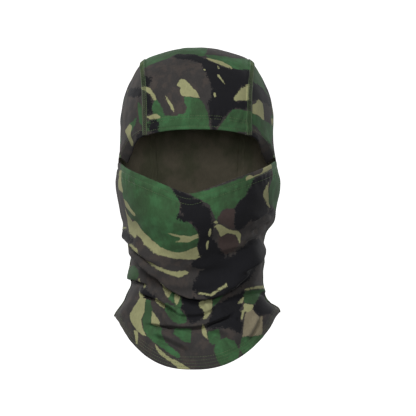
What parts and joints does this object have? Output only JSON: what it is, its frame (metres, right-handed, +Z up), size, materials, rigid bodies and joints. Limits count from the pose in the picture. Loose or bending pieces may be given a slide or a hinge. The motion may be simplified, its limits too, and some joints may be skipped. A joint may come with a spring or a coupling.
{
  "type": "camouflage balaclava",
  "caption": "Knitted camouflage hood covering head, face and neck, with a wide eye opening, a pull-down mask edge, elastic hems and a flared neck skirt.",
  "frame": {"origin": "centre of the wearer's head at brow level, midway between the side panels", "axes": "+Z up towards the crown, -Y the way the wearer looks, +X towards the wearer's left"},
  "size_m": [0.1826, 0.2153, 0.3576],
  "materials": {
    "camo_cloth": "matt knitted jersey, printed woodland camouflage",
    "hem_cloth": "matt knitted jersey turned into a hem, same print",
    "elastic_tape": "matt woven elastic",
    "sewing_thread": "olive sewing thread with a slight sheen"
  },
  "bodies": {
    "hood": {"bib": "camo_cloth", "bottom_hem_back": "hem_cloth", "bottom_hem_front": "hem_cloth", "bottom_stitching_lower": "sewing_thread", "bottom_stitching_upper": "sewing_thread", "brow_elastic": "elastic_tape", "brow_hem": "hem_cloth", "brow_stitching_lower": "sewing_thread", "brow_stitching_upper": "sewing_thread", "centre_panel": "camo_cloth", "corner_tack_left": "sewing_thread", "corner_tack_right": "sewing_thread", "crown_seam_left": "sewing_thread", "crown_seam_right": "sewing_thread", "facing_stitching_left": "sewing_thread", "facing_stitching_right": "sewing_thread", "mask_panel": "camo_cloth", "opening_facing_left": "hem_cloth", "opening_facing_right": "hem_cloth", "side_panel_left": "camo_cloth", "side_panel_right": "camo_cloth", "side_seam_left": "sewing_thread", "side_seam_right": "sewing_thread"},
    "mask_edge": {"mask_elastic": "elastic_tape", "mask_hem": "hem_cloth", "mask_stitching_lower": "sewing_thread", "mask_stitching_upper": "sewing_thread"}
  },
  "joints": [
    {"name": "mask_pull_down", "type": "hinge", "parent": "hood", "child": "mask_edge", "pos_m": [0, -0.025, -0.037], "axis": [1, 0, 0], "range_deg": [-10, 45], "deforming": ["mask_panel"]}
  ]
}
